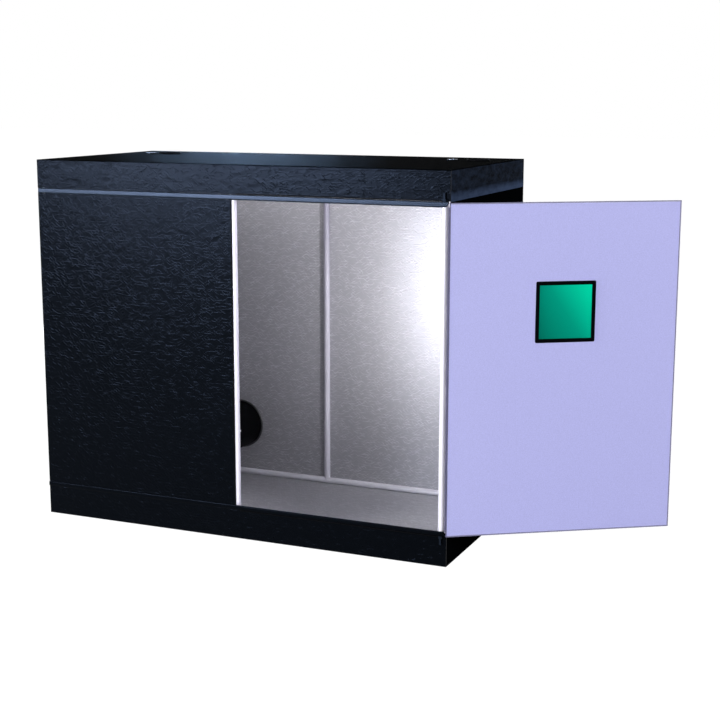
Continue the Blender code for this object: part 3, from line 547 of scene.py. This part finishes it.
# Padded strip under the header: slate webbing folded over a foam cord and sewn on along both edges. It
# stands proud of the cover, rounded, and dips a little at every stitch.
def finished(name, made, finish, body, node=None, sharp=40):
    """Turn a bmesh into a piece of the tent that rides on its body."""
    bmesh.ops.recalc_face_normals(made, faces=made.faces)
    mesh = bpy.data.meshes.new(name)
    made.to_mesh(mesh)
    made.free()
    mesh.materials.append(finish)
    mesh.shade_smooth()
    mesh.set_sharp_from_angle(angle=math.radians(sharp))
    piece = bpy.data.objects.new(name, mesh)
    bpy.context.scene.collection.objects.link(piece)
    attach(piece, body)
    if node:
        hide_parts(node)
    return piece


def loft(made, rings, close=False):
    """Quads between like rings of corners. The ends are capped, or joined where the form closes on itself."""
    rows = [[made.verts.new(p) for p in ring] for ring in rings]
    count = len(rows[0])
    for one, two in zip(rows, rows[1:] + (rows[:1] if close else [])):
        for i in range(count):
            made.faces.new((one[i], one[(i + 1) % count], two[(i + 1) % count], two[i]))
    if not close:
        made.faces.new(rows[0])
        made.faces.new(rows[-1][::-1])


stitch_pitch = 5 * MM
strip_corner = 12 * MM
strip_lean = 0.22


def padded_strip(name, node, left, right, low, high, back, front, rounded, radius, finish, lean=0.0):
    """Closed padded strip along the front, with a rounded section and one rounded corner at its right end."""
    along = list(np.linspace(left, right - radius, round((right - radius - left) / (2.5 * MM))))
    along += [right - radius + radius * math.sin(math.radians(a)) for a in range(8, 81, 8)]
    rings = []
    for x in along:
        into = max(x - (right - radius), 0)
        cut = radius - math.sqrt(radius ** 2 - into ** 2)
        foot, head = (low + cut, high) if rounded == "low" else (low, high - cut)
        pucker = 1 - 0.10 * max(0, math.cos(2 * math.pi * x / stitch_pitch)) ** 6
        ring = [(x, back, foot), (x, back, head)]
        for step in range(13):
            t = 1 - step / 12
            bulge = (1 - abs(2 * t - 1) ** 6) ** (1 / 3)
            ring.append((x, back + (front - back) * (0.7 + 0.3 * bulge * pucker) * (1 - lean * t),
                         foot + (head - foot) * t))
        rings.append(ring)
    foam = bmesh.new()
    loft(foam, rings)
    strip = finished(name, foam, finish, "tent", node)


rib_pitch = 1.6 * MM
slate_webbing, tree, shader = new_finish("slate_polyester_webbing", "10171F", 0.19, IOR=1.155,
                                         Specular_Tint=cool_sheen)
spot = add_node(tree, "ShaderNodeTexCoord")
rib = add_node(tree, "ShaderNodeTexWave", {"Vector": spot.outputs["Object"], "Distortion": 0.4, "Detail": 1.0,
                                           "Scale": 2 * math.pi / (20 * rib_pitch)}, bands_direction="X")
bump = add_node(tree, "ShaderNodeBump", {"Height": rib.outputs["Fac"], "Strength": 0.3, "Distance": 0.2 * MM})
tree.links.new(bump.outputs["Normal"], shader.inputs["Normal"])
low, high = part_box("top_baffle_strip")
padded_strip("top_baffle_strip_padded", "top_baffle_strip", low.x, high.x, low.z, high.z, high.y, low.y,
             "low", strip_corner, slate_webbing, lean=strip_lean)


# Header hem: along the sides and back the band's lower edge is turned up and sewn, so it stands a little
# proud. Its colour is painted lighter toward the fold at the bottom, as a painted sheen, with random rubbed
# marks over it.
painted_sheen_fold, tree, shader = new_finish("black_canvas_with_painted_sheen_on_fold", "2B3547", 0.4, IOR=1.015,
                                     Specular_Tint=cool_sheen)
hem_high = 24 * MM
hem_drop = 0.8 * MM
hem_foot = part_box("header_right")[0].z
spot = add_node(tree, "ShaderNodeTexCoord")
parts = add_node(tree, "ShaderNodeSeparateXYZ", {"Vector": spot.outputs["Object"]})
rub = rubbed(tree)
# Painted sheen: lighter toward the bottom of the hem, with the random rubbed marks added.
sheen_and_rub = add_node(tree, "ShaderNodeMapRange", {"Value": parts.outputs["Z"], "From Min": hem_foot + hem_high,
                                             "From Max": hem_foot + 0.3 * hem_high, "To Min": -0.2,
                                             "To Max": 0.45})
sheen_and_rub = add_node(tree, "ShaderNodeMath", {0: sheen_and_rub, 1: rub}, operation="ADD")
tone = add_node(tree, "ShaderNodeValToRGB", {"Fac": sheen_and_rub}, tones=((0.2, "10161E"), (1.0, "3A485E")))
tree.links.new(tone.outputs["Color"], shader.inputs["Base Color"])
bump = add_node(tree, "ShaderNodeBump", {"Height": rub, "Strength": 0.4, "Distance": 0.4 * MM})
tree.links.new(bump.outputs["Normal"], shader.inputs["Normal"])

hem = bmesh.new()
for node, facing in (("header_right", X), ("header_back", Y), ("header_left", -X)):
    low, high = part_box(node)
    way = Y if facing.x else X
    plane = (low + high) / 2 + facing * (abs((high - low).dot(facing)) / 2)
    long = (high - low).dot(way)
    rings = []
    for step in np.linspace(-0.5, 0.5, 160):
        at = plane + way * (long * step)
        swell = 0.5 * MM * (1 + 0.25 * math.sin(step * 55) + 0.15 * math.sin(step * 131 + 1))
        outline = ((0.05 * MM, -hem_drop), (0.35 * MM, -hem_drop), (swell, 3 * MM), (0.9 * swell, 12 * MM),
                   (0.2 * MM, hem_high), (-0.2 * MM, hem_high))
        rings.append([at + facing * out + Z * (low.z - at.z + up) for out, up in outline])
    loft(hem, rings)
piece = finished("header_hem", hem, painted_sheen_fold, "tent", sharp=60)


# Front sill: a low band of the same canvas under the doorway, with its padded bead along the top.
sill_top = 80 * MM
bead_corner = 11 * MM
low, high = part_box("front_sill")
band_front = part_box("front_panel")[0].y
two_skins("front_sill", -Y, 111, pitch=fine_pitch, clip_low=(-anywhere, band_front, -anywhere),
          clip_high=(anywhere, anywhere, sill_top))
bead_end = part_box("floor_sheet")[1].x
padded_strip("front_sill_bead", "front_sill", low.x, bead_end, sill_top, high.z, high.y, low.y, "high",
             bead_corner, coated_canvas)


# Hinge: the right wall's front edge runs forward beside the door as a doubled flange, and the piping
# that the door turns on is a fine cord covered in the door's lavender canvas, its lavender painted dark grey
# as painted shade.
low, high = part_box("door_hinge_piping")
hinge_x, hinge_y = (low.x + high.x) / 2, (low.y + high.y) / 2
piping_radius = (high.x - low.x) / 2
wall_low, wall_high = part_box("right_wall")
flange_short, flange_edge = 1.5 * MM, 0.5 * MM
flange_foot, flange_head = low.z, high.z - flange_short
flange = bmesh.new()
rings = []
for z in np.linspace(flange_foot, flange_head, 180):
    swell = 0.12 * MM * math.cos(2 * math.pi * z / stitch_pitch)
    half = (wall_high.x - wall_low.x) / 2 - 0.15 * MM + swell
    mid = (wall_low.x + wall_high.x) / 2
    rings.append([(mid - half, wall_end, z), (mid - half, wall_low.y + flange_edge, z), (mid, wall_low.y, z),
                  (mid + half, wall_low.y + flange_edge, z), (mid + half, wall_end, z)])
loft(flange, rings)
piece = finished("right_wall_hinge_flange", flange, coated_canvas, "tent", "right_wall")

speck_size = 2.4 * MM
lavender_canvas, tree, shader = new_finish("lavender_coated_canvas", "BBBDEA", 0.55, IOR=1.4)
speck = fine_relief(tree, shader, speck_size, 3.0, 0.25, 0.12 * MM, roughness=0.7)
tone = add_node(tree, "ShaderNodeValToRGB", {"Fac": speck}, tones=((0.3, "B2B4E1"), (0.7, "C4C6F3")))
tree.links.new(tone.outputs["Color"], shader.inputs["Base Color"])

# Painted shade: the door's lavender canvas, painted dark grey for the piping and the doorway hem.
shaded_lavender_canvas, tree, shader = new_finish("lavender_canvas_with_painted_shade", "5A5874", 0.6, IOR=1.3)
fine_relief(tree, shader, thread, 2.0, 0.3, 0.15 * MM)

cord = bmesh.new()
rings = []
for z in np.linspace(low.z, high.z, 340):
    waist = piping_radius * (1 - 0.08 * max(0, math.cos(2 * math.pi * z / stitch_pitch)) ** 6)
    rings.append([(hinge_x + waist * math.cos(a), hinge_y + waist * math.sin(a), z)
                  for a in np.linspace(0, 2 * math.pi, 16, endpoint=False)])
loft(cord, rings)
finished("door_hinge_piping_cord", cord, shaded_lavender_canvas, "tent", "door_hinge_piping")


# Doorway hem: the right wall's front edge also turns in beside the pole, as a narrow facing
# that closes the gap between the pole and the hinge. It is the piping's lavender painted dark grey, as painted
# shade.
facing_wide = 4.4 * MM
facing_deep = 1.2 * MM
facing_foot, facing_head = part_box("front_sill")[1].z + seam_gap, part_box("top_baffle_strip")[0].z - seam_gap
turned = bmesh.new()
rings = []
for z in np.linspace(facing_foot, facing_head, 170):
    waver = 0.15 * MM * math.cos(2 * math.pi * z / stitch_pitch)
    near, far = wall_low.x - facing_wide + waver, wall_low.x
    rings.append([(near, band_front + facing_deep, z), (near, band_front + 0.3 * MM, z),
                  (near + 0.5 * MM, band_front, z), (far, band_front, z), (far, band_front + facing_deep, z)])
loft(turned, rings)
piece = finished("doorway_turned_hem", turned, shaded_lavender_canvas, "tent")


# Door: one panel of the cover's canvas, black outside and lavender inside, hung on the piping and open
# past the side wall. It keeps no sharp creases on the lavender side.
door_heading = math.radians(32.9)
outwards = Vector((math.cos(door_heading), math.sin(door_heading), 0))
inside_face = Vector((outwards.y, -outwards.x, 0))
hinge = Vector((hinge_x, hinge_y, 0))
door_short = 13 * MM
door_reach = hinge_x - door_short
door_thick = 1.6 * MM
chain_wide = 2.9 * MM
door_near = piping_radius + seam_gap
door_far = door_reach - chain_wide - seam_gap
door_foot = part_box("door_panel")[0].z
door_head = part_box("door_panel")[1].z
pane_low, pane_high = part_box("window_pane")
frame_low, frame_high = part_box("window_frame")
window_high = (frame_low.z + frame_high.z) / 2
window_out = ((frame_low + frame_high) / 2 - hinge).dot(outwards)
window_ease = 1.8 * MM
window_hole = (pane_high.z - pane_low.z) / 2 + window_ease
door_size = (door_far - door_near, door_head - door_foot)
inside = ("lavender_side", 1, lavender_canvas, "lavender_lined_canvas", 0.08 * MM)
outside = ("black_side", -1, coated_canvas, black_slot, 0.25 * MM)
for kind, way, finish, slot, depth in (inside, outside):
    side = outwards * way
    start = door_near if way > 0 else door_far
    corner = hinge + outwards * start + inside_face * (way * door_thick / 2) + Z * door_foot
    hole_at = (window_out - start) * way
    piece = skin(f"door_{kind}", corner, side, Z, door_size, finish, "door", 121 + (way < 0), 6 * MM,
                 depth=depth, top=0.15 * MM, square_holes=[(hole_at, window_high - door_foot, window_hole)])
    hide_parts("door_panel")


# Window: a sheet of green film in a black bound frame, whose two lips are sewn through the door. The
# film's green is painted lighter toward one upper corner and darker toward the opposite lower corner, as
# painted light.
window_binding, tree, shader = new_finish("black_binding_tape", "040506", 0.4, IOR=1.06)
fine_relief(tree, shader, thread, 2.0, 0.3, 0.15 * MM)

lip_wide = 9.8 * MM
lip_proud = 2.9 * MM
frame_half = (frame_high.z - frame_low.z) / 2
frame_corner = 4 * MM
corner_steps = 7
squareness = 0.62
straight_half = frame_half - frame_corner
window_place = hinge + outwards * window_out + Z * window_high
binding = bmesh.new()
rings = []
for turn, (sign_u, sign_v) in enumerate(((1, 1), (-1, 1), (-1, -1), (1, -1))):
    for step in range(corner_steps):
        angle = math.radians(90 * turn + 90 * step / (corner_steps - 1))
        ring = []
        for point in range(24):
            a = 2 * math.pi * point / 24
            u = math.copysign(abs(math.cos(a)) ** squareness, math.cos(a))
            w = math.copysign(abs(math.sin(a)) ** squareness, math.sin(a))
            out = frame_corner - lip_wide / 2 + u * lip_wide / 2
            reach_u = sign_u * straight_half + math.cos(angle) * out
            reach_v = sign_v * straight_half + math.sin(angle) * out
            if out < 0:
                reach_u = sign_u * (straight_half + out)
                reach_v = sign_v * (straight_half + out)
            ring.append(window_place + outwards * reach_u + Z * reach_v + inside_face * (w * lip_proud))
        rings.append(ring)
loft(binding, rings, close=True)
finished("window_frame_binding", binding, window_binding, "door", "window_frame",
         sharp=60)

# Painted light: the film's green runs from dark teal at one lower corner to mint at the opposite upper corner.
green_film, tree, shader = new_finish("green_vinyl_film_with_painted_light", "01AF8C", 0.25, IOR=1.06)
spot = add_node(tree, "ShaderNodeTexCoord")
parts = add_node(tree, "ShaderNodeSeparateXYZ", {"Vector": spot.outputs["Object"]})
side_way = add_node(tree, "ShaderNodeMapRange", {"Value": parts.outputs["X"], "From Min": pane_low.x,
                                                 "From Max": pane_high.x})
up_way = add_node(tree, "ShaderNodeMapRange", {"Value": parts.outputs["Z"], "From Min": pane_low.z,
                                               "From Max": pane_high.z})
fade = add_node(tree, "ShaderNodeMix", {"Factor": 0.4, "A": side_way, "B": up_way})
tone = add_node(tree, "ShaderNodeValToRGB", {"Fac": fade},
                tones=((0.0, "00725C"), (0.5, "009F7E"), (1.0, "01EAAE")))
tree.links.new(tone.outputs["Color"], shader.inputs["Base Color"])
dress(["window_pane"], green_film)


# Zip chains: moulded black teeth on woven tape, along the header, down the closed panel's edge and
# along the sill, and round the door's three free edges.
zip_black, tree, shader = new_finish("black_moulded_zip_chain", "08090B", 0.5, IOR=1.08)
fine_relief(tree, shader, thread, 2.0, 0.25, 0.1 * MM)
tooth_pitch = 2.6 * MM


def brick(made, centre, a, b, c):
    """Six-sided form with half axes a, b and c."""
    signs = [(i, j, k) for i in (-1, 1) for j in (-1, 1) for k in (-1, 1)]
    corners = [made.verts.new(centre + a * i + b * j + c * k) for i, j, k in signs]
    for face in ((0, 1, 3, 2), (4, 6, 7, 5), (0, 4, 5, 1), (2, 3, 7, 6), (0, 2, 6, 4), (1, 5, 7, 3)):
        made.faces.new([corners[i] for i in face])


def zip_chain(name, node, runs, proud, body, inside_tape=None):
    """Tape and teeth along straight runs: start, end, direction of the teeth, width and thickness."""
    chain = bmesh.new()
    for start, end, toothward, wide, thick in runs:
        way = (end - start).normalized()
        long = (end - start).length
        brick(chain, (start + end) / 2 - toothward * (wide * 0.14), way * (long / 2),
              toothward * (wide * 0.36), proud * (thick * 0.22))
        count = int(long / tooth_pitch)
        for tooth in range(count):
            place = start + way * ((tooth + 0.5) * long / count)
            brick(chain, place + toothward * (wide * 0.22), way * (tooth_pitch * 0.31),
                  toothward * (wide * 0.28), proud * (thick * 0.5))
            brick(chain, place + toothward * (wide * -0.16), way * (tooth_pitch * 0.2),
                  toothward * (wide * 0.12), proud * (thick * 0.4))
    piece = finished(name, chain, zip_black, body, node, sharp=30)
    if inside_tape:
        piece.data.materials.append(inside_tape)
        for face in piece.data.polygons:
            face.material_index = int(face.normal.dot(proud) > 0.5)


for node, way, toothward in (("top_zip_chain", X, -Z), ("bottom_zip_chain", X, Z), ("side_zip_chain", Z, X)):
    low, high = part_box(node)
    middle = (low + high) / 2
    half = way * ((high - low).dot(way) / 2)
    wide = (high - low).dot(Z if way == X else X)
    run = (middle - half, middle + half, toothward, wide, high.y - low.y)
    zip_chain(f"{node}_teeth", node, [run], Y, "tent")

chain_foot, chain_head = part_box("door_zip_chain")[0].z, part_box("door_zip_chain")[1].z
half_wide = chain_wide / 2


def on_door(out, high):
    """Place on the door's middle plane, by its way out from the hinge and its height."""
    return hinge + outwards * out + Z * high


door_runs = [(on_door(door_near, chain_head - half_wide), on_door(door_reach, chain_head - half_wide), Z),
             (on_door(door_near, chain_foot + half_wide), on_door(door_reach, chain_foot + half_wide), -Z),
             (on_door(door_reach - half_wide, chain_foot + chain_wide),
              on_door(door_reach - half_wide, chain_head - chain_wide), outwards)]
inside_tape, tree, shader = new_finish("lavender_zip_tape", "8F8FAC", 0.6, IOR=1.4)
fine_relief(tree, shader, thread, 2.0, 0.25, 0.1 * MM)
chain_thick = 2.4 * MM
zip_chain("door_zip_chain_teeth", "door_zip_chain", [run + (chain_wide, chain_thick) for run in door_runs],
          inside_face, "door", inside_tape)


# Zip sliders and cable eyelets: die-cast zinc plated black, and pressed steel with a dark nickel finish.
# Both are worn a little smoother where hands and cables rub.
wear_size = 6 * MM
for name, colour, roughness, smooth, rough, nodes in (
        ("black_plated_zinc", "141920", 0.55, 0.45, 0.65, ("upper_zip_slider", "lower_zip_slider")),
        ("dark_nickelled_steel", "5A626E", 0.35, 0.28, 0.5, ("left_cable_eyelet", "right_cable_eyelet"))):
    plating, tree, shader = new_finish(name, colour, roughness, Metallic=1.0)
    spot = add_node(tree, "ShaderNodeTexCoord")
    rub = add_node(tree, "ShaderNodeTexNoise", {"Vector": spot.outputs["Object"], "Scale": 1 / wear_size,
                                                "Detail": 4.0})
    worn = add_node(tree, "ShaderNodeMapRange", {"Value": rub, "From Min": 0.3, "From Max": 0.7,
                                                 "To Min": smooth, "To Max": rough})
    tree.links.new(worn.outputs[0], shader.inputs["Roughness"])
    dress(nodes, plating)


# Ports: a stiff ring sewn round each hole, and a sleeve of soft black cloth, gathered at its free end,
# which a duct is tied in. The sleeves hang inside the tent.
sleeve_cloth, tree, shader = new_finish("black_woven_sleeve_cloth", "050608", 0.6, IOR=1.12)
fine_relief(tree, shader, thread, 3.0, 0.4, 0.2 * MM)
ring_binding, tree, shader = new_finish("black_glazed_binding", "07080A", 0.38, IOR=2.4)
fine_relief(tree, shader, thread, 2.0, 0.15, 0.1 * MM)


def port(node, inward):
    """Gathered cloth sleeve and its ring, made round the hole's middle line and running inward."""
    low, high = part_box(f"{node}_sleeve")
    middle, radius = middle_and_radius(f"{node}_sleeve", inward)
    long = abs((high - low).dot(inward))
    mouth = middle - inward * (long / 2)
    side = X
    other = inward.cross(side)
    draw = random.Random(node)
    waves = [(draw.randint(fewest, most), draw.uniform(0, 6.3), share)
             for fewest, most, share in ((5, 9, 0.5), (11, 17, 0.3), (21, 33, 0.2))]
    wall = 0.8 * MM
    around = 120
    profile = [(t, 0.0) for t in np.linspace(0, 1, 33)] + [(t, -wall) for t in np.linspace(1, 0, 33)]
    rings = []
    for step in range(around):
        angle = 2 * math.pi * step / around
        ruffle = sum(share * math.sin(count * angle + phase) for count, phase, share in waves)
        ring = []
        for t, shift in profile:
            fold = 1.1 * MM * t * (0.5 + 0.5 * ruffle) + 0.35 * MM * math.sin(9 * t + 2 * angle) * t
            hem = 0.5 * MM if 0.86 < t < 0.9 else 0
            reach = radius - 0.1 * MM - fold - hem + shift
            ring.append(mouth + inward * (long * t) + side * (reach * math.cos(angle))
                        + other * (reach * math.sin(angle)))
        rings.append(ring)
    cloth = bmesh.new()
    loft(cloth, rings, close=True)
    piece = finished(f"{node}_sleeve_gathered", cloth, sleeve_cloth, "tent",
                     f"{node}_sleeve", sharp=60)
    low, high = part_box(f"{node}_ring")
    middle, outer = middle_and_radius(f"{node}_ring", inward)
    deep = abs((high - low).dot(inward))
    inner = radius + seam_gap
    rings = []
    for step in range(96):
        angle = 2 * math.pi * step / 96
        pinch = 1 - 0.06 * max(0, math.cos(24 * angle)) ** 4
        ring = []
        for a in np.linspace(0, 2 * math.pi, 16, endpoint=False):
            u = math.copysign(abs(math.cos(a)) ** 0.7, math.cos(a)) * pinch
            w = math.copysign(abs(math.sin(a)) ** 0.7, math.sin(a)) * pinch
            reach = (inner + outer) / 2 + u * (outer - inner) / 2
            ring.append(middle + inward * (w * deep / 2) + side * (reach * math.cos(angle))
                        + other * (reach * math.sin(angle)))
        rings.append(ring)
    band = bmesh.new()
    loft(band, rings, close=True)
    finished(f"{node}_ring_bound", band, ring_binding, "tent", f"{node}_ring", sharp=60)


port("back_port", -Y)
port("left_roof_port", -Z)
port("right_roof_port", -Z)


# Stitching: black polyester thread, in rows beside every seam. Each stitch is drawn a little coarser
# than the real one.
black_thread, tree, shader = new_finish("black_polyester_thread", "0A0C10", 0.7, IOR=1.01)
spot = add_node(tree, "ShaderNodeTexCoord")
twist = add_node(tree, "ShaderNodeTexWave", {"Vector": spot.outputs["Object"], "Scale": 1 / (3 * MM)},
                 bands_direction="DIAGONAL")
bump = add_node(tree, "ShaderNodeBump", {"Height": twist.outputs["Fac"], "Strength": 0.3,
                                         "Distance": 0.1 * MM})
tree.links.new(bump.outputs["Normal"], shader.inputs["Normal"])
stitch_half, stitch_proud, stitch_sunk = 0.35 * MM, 0.45 * MM, 0.1 * MM


def stitch_rows(name, body, rows):
    """Rows of short raised stitches: each row's start, end and the direction that its fabric faces."""
    made = bmesh.new()
    for start, end, facing in rows:
        start, end, facing = Vector(start), Vector(end), Vector(facing)
        way = (end - start).normalized()
        aside = way.cross(facing)
        count = int((end - start).length / stitch_pitch)
        for index in range(count):
            middle = start + (end - start) * ((index + 0.5) / count)
            tips = [made.verts.new(middle + way * (stitch_pitch * 0.38 * turn)) for turn in (1, -1)]
            sides = (aside * stitch_half, facing * stitch_proud, -aside * stitch_half, -facing * stitch_sunk)
            belly = [made.verts.new(middle + side) for side in sides]
            for i in range(4):
                made.faces.new((tips[0], belly[i], belly[(i + 1) % 4]))
                made.faces.new((tips[1], belly[(i + 1) % 4], belly[i]))
    finished(name, made, black_thread, body)


seam_in = 5 * MM
tent_low, tent_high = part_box("roof_panel")
header_low, header_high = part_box("header_front")
left, right_x, front, back_y = tent_low.x, tent_high.x, tent_low.y, tent_high.y
cover_rows = []
for z, round_z in ((header_low.z + seam_in, header_low.z + hem_high + 1.5 * MM),
                   (header_high.z - seam_in, header_high.z - seam_in)):
    cover_rows += [((left, front, z), (right_x, front, z), -Y),
                   ((right_x, front, round_z), (right_x, back_y, round_z), X),
                   ((right_x, back_y, round_z), (left, back_y, round_z), Y),
                   ((left, back_y, round_z), (left, front, round_z), -X)]
wall_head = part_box("back_wall")[1].z
corner_rows = [(x, y, facing) for x, facing in ((left, -X), (right_x, X))
               for y in (back_y - seam_in, front + seam_in)]
corner_rows += [(x, back_y, Y) for x in (left + seam_in, right_x - seam_in)]
for x, y, facing in corner_rows:
    cover_rows.append(((x, y, 0.0), (x, y, wall_head), facing))
panel_low, panel_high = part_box("front_panel")
for x in (left + seam_in, panel_high.x - seam_in):
    cover_rows.append(((x, front, panel_low.z), (x, front, panel_high.z), -Y))
for y in (front + seam_in, back_y - seam_in):
    cover_rows.append(((left, y, tent_high.z), (right_x, y, tent_high.z), Z))
for x in (left + seam_in, right_x - seam_in):
    cover_rows.append(((x, front, tent_high.z), (x, back_y, tent_high.z), Z))
stitch_rows("cover_stitching", "tent", cover_rows)


low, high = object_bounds()
